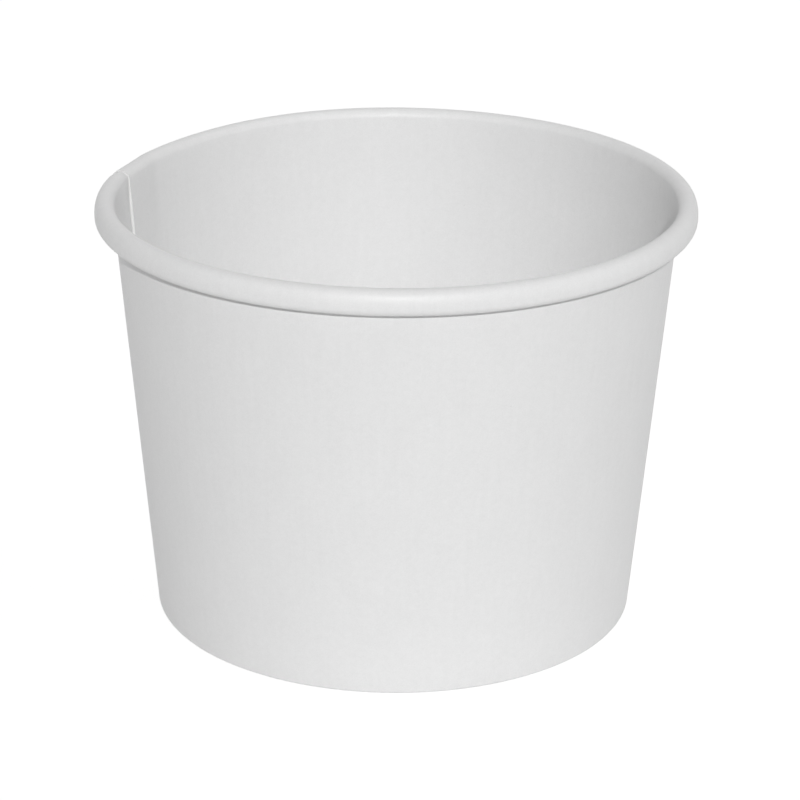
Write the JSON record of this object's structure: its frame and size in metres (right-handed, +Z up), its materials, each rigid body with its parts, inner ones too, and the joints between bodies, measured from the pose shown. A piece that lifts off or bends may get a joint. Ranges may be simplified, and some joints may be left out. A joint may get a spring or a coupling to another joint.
{
  "type": "paper sundae cup",
  "caption": "Plain white paper sundae cup with a tapered wrapped wall, a rolled rim, a lapped side seam and a recessed floor in a turned-in foot.",
  "frame": {"origin": "on the cup's axis, in the plane that the foot stands on", "axes": "+Z up along the axis, towards the rim; the picture looks along +Y, with +X to its right, and the side seam is at the left, a little behind the middle"},
  "size_m": [0.098, 0.098, 0.071],
  "materials": {
    "wall_board": "coated satin",
    "disc_board": "coated satin"
  },
  "bodies": {
    "root": {"side_wall": "wall_board", "bottom_disc": "disc_board"}
  },
  "joints": []
}
